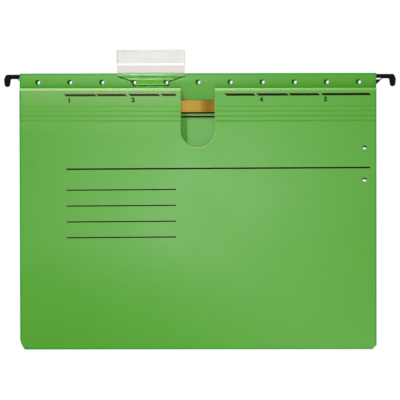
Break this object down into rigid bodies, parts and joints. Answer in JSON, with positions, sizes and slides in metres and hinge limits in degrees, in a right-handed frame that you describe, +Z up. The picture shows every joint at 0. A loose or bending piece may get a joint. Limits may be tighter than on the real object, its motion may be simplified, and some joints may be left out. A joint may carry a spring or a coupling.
{
  "type": "hanging file folder",
  "caption": "Suspension file: green card covers on a steel rail with hook ends, a clear index tab, and a creased front cover with a thumb notch over a prong filing fastener.",
  "frame": {"origin": "midway between the two hook seats, at the height where they rest on the drawer rails", "axes": "+X along the hanger rail to the viewer's right, +Y to the back cover, +Z up"},
  "size_m": [0.348, 0.0101, 0.266],
  "materials": {
    "green_card": "matt dyed card",
    "black_steel": "black lacquer",
    "black_plastic": "satin moulding",
    "bright_steel": "tinned",
    "brass_lacquer": "satin lacquer",
    "clear_plastic": "clear moulding",
    "white_card": "plain white card"
  },
  "bodies": {
    "folder": {"back_cover": "green_card", "cover_spine": "green_card", "hanger_rail": "black_steel", "left_hook": "black_plastic", "right_hook": "black_plastic", "fastener_strip": "bright_steel", "cover_bar": "brass_lacquer"},
    "top_strip": {"cover_top_strip": "green_card"},
    "crease_strip_1": {"cover_strip_1": "green_card"},
    "crease_strip_2": {"cover_strip_2": "green_card"},
    "crease_strip_3": {"cover_strip_3": "green_card"},
    "front_panel": {"front_cover": "green_card"},
    "left_slider": {"left_slider": "brass_lacquer"},
    "right_slider": {"right_slider": "brass_lacquer"},
    "index_tab": {"index_tab": "clear_plastic"},
    "tab_label": {"tab_label": "white_card"}
  },
  "joints": [
    {"name": "top_fold", "type": "hinge", "parent": "folder", "child": "top_strip", "pos_m": [-0.00175, -0.0075, -0.0104], "axis": [-1, 0, 0], "range_deg": [0, 60]},
    {"name": "crease_1", "type": "hinge", "parent": "top_strip", "child": "crease_strip_1", "pos_m": [-0.00175, -0.0075, -0.0244], "axis": [-1, 0, 0], "range_deg": [0, 30]},
    {"name": "crease_2", "type": "hinge", "parent": "crease_strip_1", "child": "crease_strip_2", "pos_m": [-0.00175, -0.0075, -0.02877], "axis": [-1, 0, 0], "range_deg": [0, 30]},
    {"name": "crease_3", "type": "hinge", "parent": "crease_strip_2", "child": "crease_strip_3", "pos_m": [-0.00175, -0.0075, -0.03314], "axis": [-1, 0, 0], "range_deg": [0, 30]},
    {"name": "crease_4", "type": "hinge", "parent": "crease_strip_3", "child": "front_panel", "pos_m": [-0.00175, -0.0075, -0.03751], "axis": [-1, 0, 0], "range_deg": [0, 30]},
    {"name": "left_slider_slide", "type": "slide", "parent": "folder", "child": "left_slider", "axis": [1, 0, 0], "range_m": [0, 0.029]},
    {"name": "right_slider_slide", "type": "slide", "parent": "folder", "child": "right_slider", "axis": [-1, 0, 0], "range_m": [0, 0.029]},
    {"name": "tab_unclip", "type": "slide", "parent": "folder", "child": "index_tab", "axis": [0, -1, 0], "range_m": [0, 0.006]},
    {"name": "label_slide", "type": "slide", "parent": "index_tab", "child": "tab_label", "axis": [-1, 0, 0], "range_m": [0, 0.055]}
  ]
}
